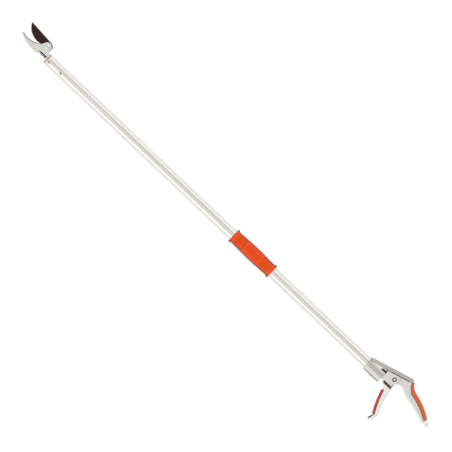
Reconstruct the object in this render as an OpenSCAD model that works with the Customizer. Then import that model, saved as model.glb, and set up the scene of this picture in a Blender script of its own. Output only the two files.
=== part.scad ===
// Long-reach pruner: a tube with a hooked cutting head at one end and a trigger handle at the other.
// All sizes are in millimetres. Every module draws in the pole frame: X runs along the tube from its
// head end to the handle, Y points to the spine side, Z is square to the plane of the cut.

/* [Pole] */
// Length of the tube
tube_length = 977.5; // [760:0.5:1500]
// Outside diameter of the tube
tube_d = 25; // [20:0.5:28]
// Wall of the tube
tube_wall = 1.2; // [0.8:0.1:1.8]
// Outside diameter of the collar
collar_d = 22; // [20:0.5:25]
// Length of the collar along the tube
collar_length = 2; // [2:0.5:6]

/* [Middle grip] */
// From the grip to the handle end of the tube, for the second hand
grip_ahead = 321.5; // [200:0.5:420]
// Length of the grip
grip_length = 113; // [90:1:150]
// Rubber over the tube at the ends of the barrel
grip_wall = 2; // [1.6:0.1:4]
// Extra radius at the middle of the barrel
grip_swell = 1.3; // [0:0.1:2]
// Rise of the end flanges above the barrel
flange_rise = 1.5; // [1:0.1:3]
// Grooves at each end of the grip
rib_count = 7; // [3:1:8]
// Distance from groove to groove
rib_pitch = 4; // [3:0.1:4.5]
// Depth of a groove
rib_depth = 0.9; // [0.4:0.1:1.4]

/* [Cutting head] */
// Blade pivot ahead of the tube
pivot_ahead = 19.5; // [18.5:0.5:22.5]
// Blade pivot above the tube axis
pivot_rise = 18.5; // [17.5:0.5:20.5]
// Thickness of the blade
blade_thickness = 3; // [2:0.1:4]
// Length of the blade from its pivot to its tip
blade_reach = 58.5; // [52:0.5:66]
// Radius of the blade around its pivot
blade_eye_r = 11.5; // [10.5:0.5:12]
// Width of the ground bevel
bevel_width = 4; // [2:0.5:6]
// Swing of the blade from open to closed, in degrees
blade_swing = 26.7; // [22:0.1:28]
// Length of the hook from the blade pivot to its tip
hook_reach = 58; // [52:0.5:66]
// Thickness of the hook and of the cheek in front of the blade
cheek_thickness = 7; // [6:0.5:9]
// Diameter of the pivot bolt's shank
blade_bolt_d = 7; // [6:0.5:8]
// Length of the plug in the tube
plug_length = 46; // [44:1:80]

/* [Pull rod] */
// Diameter of the rod
rod_d = 5; // [4:0.5:6]
// How far the blade's link pin sits ahead of the blade pivot
tail_back = 12; // [11:0.5:13]
// How far the blade's link pin sits below the blade pivot
tail_drop = 17.5; // [16.5:0.5:18.5]
// Diameter of the blade's link pin
blade_pin_d = 4; // [3:0.5:4.5]
// Thickness of each prong of the fork
prong_thickness = 2.2; // [1.6:0.1:2.6]
// Wire of the return spring
spring_wire = 1.2; // [0.8:0.1:1.4]
// Curls of the return spring
spring_turns = 5; // [4:1:6]

/* [Handle] */
// Wall of the sleeve around the tube
sleeve_wall = 2; // [1.6:0.05:4]
// Length of the sleeve
sleeve_length = 44; // [40:1:60]
// Trigger pivot behind the tube
trigger_pivot_x = 24.5; // [23:0.5:26]
// Trigger pivot above the tube axis
trigger_pivot_y = 13; // [12.5:0.1:13.5]
// Distance from the trigger pivot to its link pin
crank_r = 14.2; // [14:0.1:14.6]
// Diameter of the trigger's pivot bolt
trigger_bolt_d = 5; // [4:0.5:7]
// Half of the thickness of the handle
body_half = 13; // [12.5:0.5:15]
// Height of the spine's back corner above the tube axis
spine_rise = 42; // [38:0.5:45]
// Length of the rear handle from its root to its end
handle_run = 74.5; // [64:0.5:90]
// Drop of the rear handle over that length
handle_drop = 25.5; // [20:0.5:30]
// Palm swell of the rear handle
handle_bow = 3.5; // [0:0.5:6]
// Half of the rear handle's depth at its root
handle_root_w = 11.3; // [10:0.1:12]
// Half of the rear handle's depth at its end
handle_tip_w = 6.5; // [5.5:0.1:8]
// Diameter of the hole to hang the tool by
hang_hole_d = 6; // [4:0.5:6.5]
// Thickness of the soft grip over the handle's back
grip_skin = 3; // [2:0.1:4]

/* [Trigger] */
// Width of the trigger
trigger_width = 19; // [17:0.5:19.5]
// Length of the trigger below the tube axis
trigger_drop = 86; // [80:1:100]
// Depth of the lever from its front to its back
lever_depth = 16.6; // [14:0.1:17.5]
// How far the lower end of the lever's front lies behind its upper end
lever_lean = 21.5; // [18:0.5:25]
// Bow of the lever's front
lever_bow = 2; // [0:0.5:4]
// Thickness of the pad on the trigger
pad_thickness = 4.5; // [3:0.5:5.5]

/* [Clearances] */
// Gap of parts that are pushed or screwed together
fit_gap = 0.05; // [0.02:0.01:0.1]
// Gap of a pin that turns in its hole
pin_gap = 0.06; // [0.03:0.01:0.1]
// Gap of flat faces that slide
face_gap = 0.1; // [0.05:0.05:0.3]
// Gap of parts that move past each other
run_gap = 0.4; // [0.3:0.05:0.6]
// Play of a link pin across its slot
slot_play = 0.35; // [0.3:0.05:0.5]

/* [Hidden] */
$fn = 64;

// Colours of the materials
silver = [0.8, 0.81, 0.82];
orange = [0.88, 0.27, 0.1];
zinc = [0.66, 0.67, 0.69];
dull_steel = [0.52, 0.52, 0.54];
coated = [0.16, 0.13, 0.12];
nylon = [0.22, 0.22, 0.23];

// How far shapes of one piece run into each other, and a length past every piece for cutters
join = 0.1;
far = 40;

tube_r = tube_d / 2;
bore_r = tube_r - tube_wall;
collar_r = collar_d / 2;
collar_edge = 0.8;
collar_wall = 2.4;
neck_r = collar_r - collar_wall;
grip_start = tube_length - grip_ahead - grip_length;
grip_end_r = tube_r + grip_wall;
flange_r = grip_end_r + flange_rise;
flange_width = 3.4;
rib_first = 9.5;
cheek_half = flange_r;
sleeve_r = tube_r + fit_gap + sleeve_wall;
rod_r = rod_d / 2;
rod_hole_r = rod_r + run_gap;
rod_top = rod_r + 2.2;
apron_low = 2.4;

// Head: the blade turns about its pivot, and the rod pulls the pin in its tail
blade_half = blade_thickness / 2;
blade_bolt_r = blade_bolt_d / 2;
cheek_z0 = blade_half + face_gap;
cheek_z1 = cheek_z0 + cheek_thickness;
boss_rise = 0.7;
boss_r = blade_eye_r - 2;
bolt_head_r = 0.46 * blade_eye_r;
bolt_head_h = 2.4;
bolt_slot = 1.4;
washer_r = 0.65 * blade_eye_r;
washer_h = 1.1;
nut_h = 5;
head_edge = 1.1;
blade_pivot = [-pivot_ahead, pivot_rise];
blade_pin = blade_pivot - [tail_back, tail_drop];
blade_pin_r = blade_pin_d / 2;
tail_r = norm([tail_back, tail_drop]);
tail_angle = atan2(-tail_drop, -tail_back);
tail_end_r = blade_pin_r + 2.3;
rod_stroke = tail_r * (cos(tail_angle + blade_swing) - cos(tail_angle));
pin_low = blade_pivot[1] - tail_r * max(-sin(tail_angle + blade_swing), -sin(tail_angle));
tip_rise = 14.3;
tip_r = 1.9;
edge_land = 0.5;
edge_centre = [-23.7, 34.4];
edge_r = 40.7;
hook_inner_centre = [-42.4, 30.3];
hook_inner_r = 44.6;
hook_outer_centre = [-20.8, 44.6];
hook_outer_r = 70.8;
rivet_r = 2;
rivet_head_r = 2.9;
rivet_head_h = 1.1;
rivet_seat = rod_r + 1.5;
rivet_inset = 5.5;
rivet_turn = 16;

// Pull rod: a fork at the head, an eye at the trigger, and a spring between the fork and the shoulder
fork_gap = blade_half + run_gap;
fork_half = fork_gap + prong_thickness;
fork_wall = 2.6;
fork_slot_r = blade_pin_r + slot_play;
fork_end_r = fork_slot_r + fork_wall;
fork_base_x = blade_pin[0] + tail_end_r + 0.6;
fork_face_x = fork_base_x + 2.4;
fork_low = rod_r + 2;
shoulder_length = 3.5;
shoulder_x = -collar_length - shoulder_length;
spring_r = rod_r + 0.6 + spring_wire / 2;
spring_seat_gap = 0.3;
trigger_pivot = [trigger_pivot_x, trigger_pivot_y];
trigger_half_swing = asin(rod_stroke / 2 / crank_r);
trigger_swing = 2 * trigger_half_swing;
trigger_pin = trigger_pivot + crank_r * [-sin(trigger_half_swing), -cos(trigger_half_swing)];
crank_low = trigger_pivot_y - crank_r;
trigger_pin_r = 2.5;
eye_half = 4;
eye_wall = 2.3;
eye_slot_r = trigger_pin_r + slot_play;
eye_r = eye_slot_r + eye_wall;
rod_nut_r = rod_r + 2.1;
rod_nut_h = 4;
rod_nut_x = 2.9;
eye_x = rod_nut_x + rod_nut_h + join;
rod_end_x = eye_x + 4;

// Trigger and what turns it
trigger_half = trigger_width / 2;
trigger_bolt_r = trigger_bolt_d / 2;
hub_r = trigger_bolt_r + 3.4;
spacer_h = 0.8;
pocket_half = trigger_half + spacer_h + 2 * face_gap;
channel_half = max(eye_half, rod_nut_r) + run_gap;
channel_r = crank_r + eye_r + 4 * run_gap;
lever_edge = 1.8;
pad_edge = 1.2;
pad_side = 0.5;
pad_from = 0.227 * trigger_drop;
pad_to = 0.843 * trigger_drop;
pad_top_x = trigger_pivot_x - 5.8;
step_top = -3.3;
step_low = -8.2;
step_half = 6.4;
foot_x = pad_top_x + lever_lean;

// Handle
root_behind = 38;
root_above = 2.3;
handle_root = [trigger_pivot_x + root_behind, trigger_pivot_y + root_above];
handle_tip = handle_root + [handle_run, -handle_drop];
handle_edge = 2.2;
cheek_edge = 1.2;
cheek_low = -2.5;
grip_side = 0.4;
core_side = 3.2;
grip_from = 0.12;
grip_to = 0.9;
spine_behind = 32;
spine_end = [trigger_pivot_x + spine_behind, spine_rise];
spine_foot = [-sleeve_length + 3, sleeve_r + 0.2];
spine_angle = atan2(spine_end[1] - spine_foot[1], spine_end[0] - spine_foot[0]);
spine_depth = 8;
spine_lip = 3.6;
spine_side = 1;
seam = 1.1;
spine_flat = body_half - 5;
web_half = 8.5;
screw_x = -0.45 * sleeve_length;
screw_r = 2;
screw_tip = rod_hole_r + screw_r;
keel_drop = sleeve_r + 0.9;
keel_half = 5;
keel_edge = 1;
screw_head_r = 3.4;
screw_head_h = 1.6;
nut_recess_r = trigger_bolt_r + 2.4;
nut_recess = 4;
head_recess_r = trigger_bolt_r + 3;
head_recess = 3.4;
slot_length = 13.4;
slot_width = 3.4;
slot_floor = 1.2;

echo(rod_stroke = rod_stroke, trigger_swing = trigger_swing);
echo(blade_pin = blade_pin, trigger_pin = trigger_pin, fork_face_x = fork_face_x);

// Points on an arc, and the angle where an arc is at a distance from the point its centre is measured from
function dir(a) = [cos(a), sin(a)];
function arc(c, r, a0, a1, n) = [for (i = [0:n]) c + r * dir(a0 + (a1 - a0) * i / n)];
function reach_angle(c, r, reach) =
    atan2(c[1], c[0]) + acos((reach * reach - c * c - r * r) / (2 * r * norm(c)));

// A smooth curve through a few points
function between(a, b, c, d, t) =
    0.5 * (2 * b + (c - a) * t + (2 * a - 5 * b + 4 * c - d) * t * t + (3 * b - a - 3 * c + d) * t * t * t);
function smooth(p, n) = concat(
    [for (i = [0:len(p) - 2]) for (k = [0:n - 1])
        between(p[max(i - 1, 0)], p[i], p[i + 1], p[min(i + 2, len(p) - 1)], k / n)],
    [p[len(p) - 1]]);

// Normals, and an outline moved inwards
function unit(v) = v / norm(v);
function left(v) = [-v[1], v[0]];
function reverse(p) = [for (i = [len(p) - 1:-1:0]) p[i]];
function shifted(p, d) = [for (i = [0:len(p) - 1])
    p[i] + d * left(unit(p[min(i + 1, len(p) - 1)] - p[max(i - 1, 0)]))];
function inset(p, d) = [for (i = [0:len(p) - 1])
    let (before = p[(i + len(p) - 1) % len(p)], after = p[(i + 1) % len(p)])
    let (a = left(unit(p[i] - before)), b = left(unit(after - p[i])))
    p[i] + d * (a + b) / max(0.4, 1 + a * b)];

// A flat outline cut into triangles, one corner at a time
function turn(a, b, c) = (b[0] - a[0]) * (c[1] - a[1]) - (b[1] - a[1]) * (c[0] - a[0]);
function covers(a, b, c, q) = turn(a, b, q) >= 0 && turn(b, c, q) >= 0 && turn(c, a, q) >= 0;
function inside(p, ids, h, i, k) = [for (m = [0:len(ids) - 1])
    if (m != h && m != i && m != k && covers(p[ids[h]], p[ids[i]], p[ids[k]], p[ids[m]])) m];
function free_corner(p, ids, i) =
    let (n = len(ids), h = (i + n - 1) % n, k = (i + 1) % n)
    turn(p[ids[h]], p[ids[i]], p[ids[k]]) > 1e-6 && len(inside(p, ids, h, i, k)) == 0;
function next_corner(p, ids, i) =
    i >= len(ids) ? 0 : free_corner(p, ids, i) ? i : next_corner(p, ids, i + 1);
function triangles(p, ids, from) = len(ids) == 3 ? [ids] :
    let (n = len(ids), i = next_corner(p, ids, from % n))
    concat([[ids[(i + n - 1) % n], ids[i], ids[(i + 1) % n]]],
        triangles(p, [for (m = [0:n - 1]) if (m != i) ids[m]], i + 1 < n - 1 ? i + 1 : 0));

// A plate with rounded edges on both faces, from an outline that runs anticlockwise
edge_steps = 3;
module rounded_plate(p, z0, z1, r) {
    n = len(p);
    quarter = [for (k = [0:edge_steps]) let (a = 90 * k / edge_steps) r * [1 - cos(a), 1 - sin(a)]];
    low = [for (q = quarter) [z0 + q[0], q[1]]];
    high = [for (q = reverse(quarter)) [z1 - q[0], q[1]]];
    levels = concat(low, high);
    last = len(levels) - 1;
    rings = [for (s = levels) for (v = inset(p, s[1])) [v[0], v[1], s[0]]];
    face = triangles(inset(p, r), [for (i = [0:n - 1]) i], 0);
    top = [for (t = face) [last * n + t[2], last * n + t[1], last * n + t[0]]];
    sides = [for (k = [0:last - 1]) for (i = [0:n - 1]) for (h = [0, 1])
        h == 0 ? [k * n + i, k * n + n + i, k * n + n + (i + 1) % n]
               : [k * n + i, k * n + n + (i + 1) % n, k * n + (i + 1) % n]];
    polyhedron(rings, concat(face, top, sides), 4);
}

// Two circles and the straight bar that is tangent to both
module link2d(c1, r1, c2, r2) {
    d = c2 - c1;
    base = atan2(d[1], d[0]);
    a = acos((r1 - r2) / norm(d));
    translate(c1) circle(r1);
    translate(c2) circle(r2);
    polygon([c1 + r1 * dir(base - a), c2 + r2 * dir(base - a),
        c2 + r2 * dir(base + a), c1 + r1 * dir(base + a)]);
}

module along_x(x0, x1, r) {
    translate([x0, 0, 0]) rotate([0, 90, 0]) cylinder(h = x1 - x0, r = r);
}

module upright(c, z0, z1, r) {
    translate([c[0], c[1], z0]) cylinder(h = z1 - z0, r = r);
}

module flat(z0, z1) {
    translate([0, 0, z0]) linear_extrude(z1 - z0) children();
}

// From the pole frame to the part lying on its side
module lying() {
    translate(rest_shift) children();
}

module at_handle() {
    translate([tube_length, 0, 0]) children();
}

// Rivets of the head, turned a little below the side that faces up
module on_rivets() {
    for (x = [rivet_inset, plug_length - rivet_inset])
        translate([x, 0, 0]) rotate([rivet_turn, 0, 0]) children();
}

// Screw under the sleeve of the handle
module on_screw() {
    translate([screw_x, 0, 0]) rotate([90, 0, 0]) children();
}

module tube() {
    color(silver) lying() difference() {
        along_x(0, tube_length, tube_r);
        along_x(-far, tube_length + far, bore_r);
        on_rivets() cylinder(h = far, r = rivet_r + fit_gap);
        at_handle() on_screw() cylinder(h = far, r = screw_r + fit_gap);
    }
}

module tube_collar() {
    color(orange) lying() rotate([0, 90, 0]) rotate_extrude() polygon([
        [neck_r + fit_gap, -collar_length],
        [collar_r - collar_edge, -collar_length],
        [collar_r, -collar_length + collar_edge],
        [collar_r, -collar_edge],
        [collar_r - collar_edge, 0],
        [neck_r + fit_gap, 0]]);
}

// Radius of the barrel at a distance along the grip, and the four corners of a groove in it
function barrel(u) = grip_end_r + grip_swell * (1 - pow(2 * u / grip_length - 1, 2));
function groove(u) = [
    [barrel(u), u - rib_pitch / 4],
    [barrel(u) - rib_depth, u - rib_pitch / 9],
    [barrel(u) - rib_depth, u + rib_pitch / 9],
    [barrel(u), u + rib_pitch / 4]];
rib_places = [for (i = [0:rib_count - 1]) rib_first + i * rib_pitch];

module mid_grip() {
    flange = [
        [tube_r + fit_gap, 0],
        [flange_r - flange_width / 3, 0],
        [flange_r, flange_width / 3],
        [flange_r, flange_width],
        [barrel(1.5 * flange_width), 1.5 * flange_width]];
    head_ribs = [for (u = rib_places) for (q = groove(u)) q];
    plain = [for (s = [0:6]) let (u = grip_length * (0.4 + 0.2 * s / 6)) [barrel(u), u]];
    foot_ribs = [for (u = reverse(rib_places)) for (q = groove(grip_length - u)) q];
    flare = [
        [barrel(1.8 * flange_width), grip_length - 1.8 * flange_width],
        [flange_r - 0.35 * flange_rise, grip_length - flange_width],
        [flange_r, grip_length - 0.7 * flange_width],
        [flange_r - 0.15 * flange_rise, grip_length - 0.3 * flange_width],
        [flange_r - 0.65 * flange_rise, grip_length],
        [tube_r + fit_gap, grip_length]];
    color(orange) lying() translate([grip_start, 0, 0]) rotate([0, 90, 0])
        rotate_extrude() polygon(concat(flange, head_ribs, plain, foot_ribs, flare));
}

// Guides that keep the rod in the middle: one half way to the grip, one under it
guide_half = 8;
guide_disc = 4;
module rod_guides() {
    color(nylon) lying() for (x = [grip_start / 2, grip_start + grip_length / 2]) difference() {
        union() {
            along_x(x - guide_half, x - guide_half + guide_disc, bore_r - fit_gap);
            along_x(x - guide_half + join, x + guide_half - join, rod_hole_r + tube_wall);
            along_x(x + guide_half - guide_disc, x + guide_half, bore_r - fit_gap);
        }
        along_x(x - far, x + far, rod_hole_r);
    }
}

module rear_bush() {
    color(nylon) lying() at_handle() difference() {
        along_x(-0.77 * sleeve_length, -1, bore_r - fit_gap);
        along_x(-far, far, rod_hole_r);
        on_screw() cylinder(h = far, r = screw_r + fit_gap);
    }
}

// Outline of the hook and of the cheek in front of the blade
hook_inner = arc(blade_pivot + hook_inner_centre, hook_inner_r, 292,
    reach_angle(hook_inner_centre, hook_inner_r, hook_reach), 18);
hook_outer = arc(blade_pivot + hook_outer_centre, hook_outer_r,
    reach_angle(hook_outer_centre, hook_outer_r, hook_reach), 276, 16);
hook_tip = hook_inner[len(hook_inner) - 1];
hook_end = hook_tip - hook_outer[0];
hook_end_angle = atan2(hook_end[1], hook_end[0]);
window_edge = [blade_pivot + [-8.7, -24.5], blade_pivot + [-7.1, -21], blade_pivot + [-5.5, -17.5]];
head_outline = concat(
    arc((hook_tip + hook_outer[0]) / 2, norm(hook_end) / 2, hook_end_angle + 45, hook_end_angle + 135, 3),
    hook_outer,
    smooth(concat(window_edge, [[blade_pivot[0] - 2, apron_low]]), 3),
    [[shoulder_x + 0.5, apron_low], [shoulder_x + 0.5, collar_r - 0.8]],
    arc(blade_pivot, boss_r, -20, 152, 18),
    smooth([blade_pivot + [-13, -4], blade_pivot + [-18.5, -8.3]], 2),
    hook_inner);

// Rib between the cheek and the shoulder of the plug
head_rib = [
    [blade_pivot[0] + 6, rod_top],
    [shoulder_x + 1, rod_top],
    [shoulder_x + 1, collar_r - 1.6],
    blade_pivot + [11, -7],
    blade_pivot + [6, -4]];

// Room for the blade's tail and for the fork over its stroke
tail_room = [
    blade_pivot + [-19, -31],
    blade_pivot + [8, -31],
    blade_pivot + [8, -5],
    blade_pivot + [-19, -5]];
fork_room_x = blade_pin[0] - fork_end_r - 3 * run_gap;
fork_room_length = fork_face_x + rod_stroke + 2 * run_gap - fork_room_x;
fork_room_top = blade_pin[1] + fork_end_r + 1.5 * run_gap;

module head_casting() {
    color(silver) lying() difference() {
        union() {
            along_x(-collar_length - join, join, neck_r);
            along_x(0, plug_length, bore_r - fit_gap);
            along_x(shoulder_x, -collar_length, collar_r - collar_edge / 2);
            rounded_plate(head_outline, cheek_z0, cheek_z1, head_edge);
            upright(blade_pivot, cheek_z1 - 2 * boss_rise, cheek_z1 + boss_rise, boss_r - 1.6);
            flat(-collar_r / 2 + 0.5, cheek_z1 - 1.5 * head_edge) polygon(head_rib);
        }
        along_x(shoulder_x - far, plug_length + far, rod_hole_r);
        along_x(fork_face_x, shoulder_x, spring_r + spring_wire / 2 + run_gap);
        upright(blade_pivot, -far, far, blade_bolt_r + fit_gap);
        upright(blade_pivot, -far, cheek_z0 - 0.001, blade_eye_r + 2 * run_gap);
        flat(-cheek_z0, cheek_z0 - 0.001) polygon(tail_room);
        translate([fork_room_x, -far, -fork_half - run_gap])
            cube([fork_room_length, far + fork_room_top, 2 * (fork_half + run_gap)]);
        on_rivets() translate([0, 0, rivet_seat]) cylinder(h = far, r = rivet_r + fit_gap);
    }
}

module head_rivets() {
    color(zinc) lying() on_rivets() {
        translate([0, 0, rivet_seat + run_gap]) cylinder(h = tube_r - rivet_seat, r = rivet_r);
        translate([0, 0, tube_r + fit_gap]) cylinder(h = rivet_head_h / 2, r = rivet_head_r);
        translate([0, 0, tube_r + fit_gap + rivet_head_h / 2])
            cylinder(h = rivet_head_h / 2, r1 = rivet_head_r, r2 = 0.6 * rivet_head_r);
    }
}

// Outline of the blade in its open position
blade_tip = blade_pivot + [-blade_reach + tip_r - 0.5, tip_rise];
edge_mid = blade_pivot + edge_centre;
blade_outline = concat(
    arc(blade_tip, tip_r, 80, 215, 5),
    [for (q = arc(edge_mid, edge_r, 212, 272, 15)) if (q[0] > blade_tip[0] + 0.5) q],
    [edge_mid + edge_r * dir(281)],
    [blade_pin + [-tail_end_r + 0.2, 2 * tail_end_r]],
    [blade_pin + [-tail_end_r, 0], blade_pin + [tail_end_r, 0], blade_pin + [tail_end_r, 1.5 * tail_end_r]],
    [blade_pivot + [-4, -blade_eye_r + 0.6], blade_pivot + [0.5, blade_eye_r - 0.02]]);

// Both ends of the part, and the shift that puts the middle of its box over the origin
front_x = min([for (q = concat(head_outline, blade_outline)) q[0]]);
rear_x = tube_length + handle_tip[0] + handle_tip_w;
rest_shift = [-(front_x + rear_x) / 2, -(spine_rise - trigger_drop) / 2, cheek_half];
echo(rest_shift = rest_shift);

module cutting_blade() {
    color(coated) lying() difference() {
        union() {
            flat(-blade_half, blade_half) polygon(blade_outline);
            upright(blade_pivot, -blade_half, blade_half, blade_eye_r);
            upright(blade_pin, -blade_half, blade_half, tail_end_r);
        }
        upright(blade_pivot, -far, far, blade_bolt_r + pin_gap);
        upright(blade_pin, -far, far, blade_pin_r + fit_gap);
        translate([edge_mid[0], edge_mid[1], 0]) rotate([0, 0, 205]) rotate_extrude(angle = 72) polygon([
            [edge_r - bevel_width, -blade_half - 0.01],
            [edge_r + 2, -blade_half - 0.01],
            [edge_r + 2, blade_half - edge_land],
            [edge_r + 0.02, blade_half - edge_land]]);
    }
}

module blade_link_pin() {
    color(zinc) lying() upright(blade_pin, -fork_half, fork_half, blade_pin_r);
}

module blade_pivot_bolt() {
    head_z = cheek_z1 + boss_rise + 0.02;
    thread_z = -blade_half - face_gap - washer_h - nut_h - 0.8;
    color(zinc) lying() difference() {
        union() {
            upright(blade_pivot, thread_z, head_z, blade_bolt_r);
            upright(blade_pivot, head_z, head_z + 2 / 3 * bolt_head_h, bolt_head_r);
            translate([blade_pivot[0], blade_pivot[1], head_z + 2 / 3 * bolt_head_h])
                cylinder(h = bolt_head_h / 3, r1 = bolt_head_r, r2 = 0.8 * bolt_head_r);
        }
        translate([blade_pivot[0] - far / 2, blade_pivot[1] - bolt_slot / 2, head_z + bolt_head_h / 2])
            cube([far, bolt_slot, far]);
    }
}

module blade_pivot_nut() {
    nut_z = -blade_half - face_gap - washer_h - fit_gap - nut_h;
    color(zinc) lying() difference() {
        translate([blade_pivot[0], blade_pivot[1], nut_z]) cylinder(h = nut_h, r = 0.85 * washer_r, $fn = 6);
        upright(blade_pivot, -far, far, blade_bolt_r + fit_gap);
    }
}

module blade_washer() {
    color(zinc) lying() difference() {
        upright(blade_pivot, -blade_half - face_gap - washer_h, -blade_half - face_gap, washer_r);
        upright(blade_pivot, -far, far, blade_bolt_r + fit_gap);
    }
}

// Return spring: one tube along a helix round the rod, with a short straight end on each seat
spring_x0 = fork_face_x + spring_seat_gap + spring_wire / 2;
spring_x1 = shoulder_x - spring_seat_gap - spring_wire / 2;
spring_steps = spring_turns * 12;
function curl(i) = 360 * spring_turns * i / spring_steps;
function curl_out(i) = [0, cos(curl(i)), sin(curl(i))];
function curl_along(i) = [0, -sin(curl(i)), cos(curl(i))];
function curl_at(i) = [spring_x0 + (spring_x1 - spring_x0) * i / spring_steps, 0, 0] + spring_r * curl_out(i);
spring_path = concat(
    [[curl_at(0) - spring_wire * curl_along(0), curl_out(0)]],
    [for (i = [0:spring_steps]) [curl_at(i), curl_out(i)]],
    [[curl_at(spring_steps) + spring_wire * curl_along(spring_steps), curl_out(spring_steps)]]);
spring_gap = min([for (i = [0:len(spring_path) - 9]) for (k = [i + 8:len(spring_path) - 1])
    norm(spring_path[i][0] - spring_path[k][0])]) - spring_wire;
echo(spring_gap = spring_gap);

module return_spring() {
    n = len(spring_path);
    rings = [for (s = spring_path) for (k = [0:5])
        s[0] + spring_wire / 2 * (cos(60 * k) * s[1] + sin(60 * k) * [1, 0, 0])];
    walls = [for (i = [0:n - 2]) for (k = [0:5]) for (h = [0, 1])
        h == 0 ? [6 * i + k, 6 * i + 6 + k, 6 * i + 6 + (k + 1) % 6]
               : [6 * i + k, 6 * i + 6 + (k + 1) % 6, 6 * i + (k + 1) % 6]];
    ends = [for (k = [1:4]) for (e = [0, 1])
        e == 0 ? [0, k, k + 1] : [6 * n - 6, 6 * n - 6 + k + 1, 6 * n - 6 + k]];
    color(zinc) lying() polyhedron(rings, concat(walls, ends), 4);
}

module pull_rod() {
    color(zinc) lying() along_x(fork_base_x + 0.2, tube_length + rod_end_x, rod_r);
}

module front_fork() {
    low_pin = [blade_pin[0], pin_low];
    color(dull_steel) lying() difference() {
        flat(-fork_half, fork_half) union() {
            link2d(blade_pin, fork_end_r, low_pin, fork_end_r);
            translate([blade_pin[0], -fork_low])
                square([fork_face_x - blade_pin[0], blade_pin[1] + fork_end_r + fork_low]);
        }
        translate([fork_base_x - far, -far, -fork_gap]) cube([far, 2 * far, 2 * fork_gap]);
        flat(-far, far) link2d(blade_pin, fork_slot_r, low_pin, fork_slot_r);
        along_x(fork_base_x - join, fork_face_x + far, rod_r + fit_gap);
    }
}

module rear_eye() {
    low_pin = [trigger_pin[0], crank_low];
    color(dull_steel) lying() at_handle() difference() {
        union() {
            flat(-eye_half, eye_half) link2d(trigger_pin, eye_r, low_pin, eye_r);
            along_x(eye_x, trigger_pin[0] - trigger_pin_r - 1, eye_half);
        }
        flat(-far, far) link2d(trigger_pin, eye_slot_r, low_pin, eye_slot_r);
        along_x(eye_x - far, rod_end_x + 0.2, rod_r + fit_gap);
    }
}

module rod_lock_nut() {
    color(zinc) lying() at_handle() difference() {
        translate([rod_nut_x, 0, 0]) rotate([0, 90, 0]) cylinder(h = rod_nut_h, r = rod_nut_r, $fn = 6);
        along_x(-far, far, rod_r + fit_gap);
    }
}

// Rear handle: a middle line with a palm swell, and half its depth along it
handle_n = unit([handle_drop, handle_run]);
handle_fall = atan2(-handle_drop, handle_run);
function handle_mid(t) =
    handle_root + t * [handle_run, -handle_drop] + handle_bow * 4 * t * (1 - t) * handle_n;
function handle_w(t) = handle_root_w - (handle_root_w - handle_tip_w) * pow(t, 2.2);
function grip_band(t) = handle_root_w * (0.8 - 0.08 * t);
function handle_back(t, d) = handle_mid(t) + (handle_w(t) - d) * handle_n;
function handle_belly(t) = handle_mid(t) - handle_w(t) * handle_n;
along_grip = [for (t = [0.2:0.07:grip_to + 0.001]) t];
along_belly = [for (t = [0.36:0.09:0.95]) t];

// Corner and flare of the soft grip where the spine ends
flare_out = smooth([
    spine_end + [4.4, -5],
    spine_end + [6.8, -9],
    spine_end + [10.4, -12.8],
    spine_end + [14.6, -15.6],
    handle_back(grip_from, 0)], 4);
flare_in = smooth([
    spine_end + [1.2, -8.2],
    spine_end + [3.6, -13.5],
    spine_end + [9, -19],
    handle_back(grip_from, grip_band(grip_from))], 4);

grip_outline = concat(
    reverse(flare_out),
    [spine_end + [1.1, -5.4]],
    flare_in,
    [for (t = along_grip) handle_back(t, grip_band(t))],
    reverse([for (t = along_grip) handle_back(t, 0)]));

// Outline of the frame from the cheeks to the end of the rear handle, without the soft grip
function spine_y(x) = spine_foot[1] + (x - spine_foot[0]) * tan(spine_angle);
throat = smooth([
    trigger_pivot + [6, -10],
    trigger_pivot + [9, -5.4],
    handle_root + [-22.5, -3.6],
    handle_root + [-14, -3.6],
    handle_root + [-6, -6.6],
    handle_belly(0.12),
    handle_belly(0.28)], 4);
body_outline = concat(
    [[0.5, cheek_low], [trigger_pivot[0] + 4, cheek_low]],
    throat,
    [for (t = along_belly) handle_belly(t)],
    arc(handle_tip, handle_tip_w, handle_fall - 90, handle_fall + 78, 12),
    [handle_back(grip_to, 0.6), handle_back(grip_to, grip_band(grip_to) + face_gap)],
    reverse([for (t = along_grip) if (t < grip_to - 0.03) handle_back(t, grip_band(t) + face_gap)]),
    reverse([for (p = flare_in) p - face_gap * handle_n]),
    [spine_end + [0.9, -5.2], spine_end + [0, -1.5], spine_end + [-4, -3.2], [0.5, spine_y(0.5) - 2]]);

// Core of the rear handle under the soft grip
core_outline = concat(
    [spine_end + [-2, -9], spine_end + [1, -14], spine_end + [6, -22]],
    [for (t = [0.15:0.15:grip_to]) handle_back(t, grip_band(t) + grip_skin)],
    reverse([for (t = [0.15:0.15:grip_to]) handle_back(t, grip_skin)]),
    [spine_end + [11, -14.6 - grip_skin], spine_end + [5.6, -15.4]]);

// Cheeks at both sides of the trigger's hub, and the web between the sleeve and the spine
cheek_outline = concat(
    [[2, cheek_low], [trigger_pivot[0] + 3.5, cheek_low]],
    smooth([
        trigger_pivot + [5.5, -10],
        trigger_pivot + [8.5, -5],
        trigger_pivot + [11.3, 1],
        trigger_pivot + [10.5, 7],
        [trigger_pivot[0] + 7, spine_y(trigger_pivot[0] + 7) - spine_depth - seam]], 4),
    [[2, spine_y(2) - spine_depth - seam]]);
web_outline = [
    [-sleeve_length + 3, tube_r / 2],
    [8, tube_r / 2],
    trigger_pivot + [5.5, 13],
    [trigger_pivot[0] + 5.5, spine_y(trigger_pivot[0] + 5.5) - 2],
    spine_foot + [2, 0]];
spine_section = [
    [-spine_depth, -body_half - spine_side],
    [spine_lip - spine_depth, -body_half - spine_side],
    [0, -spine_flat],
    [0, spine_flat],
    [spine_lip - spine_depth, body_half + spine_side],
    [-spine_depth, body_half + spine_side]];

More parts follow.
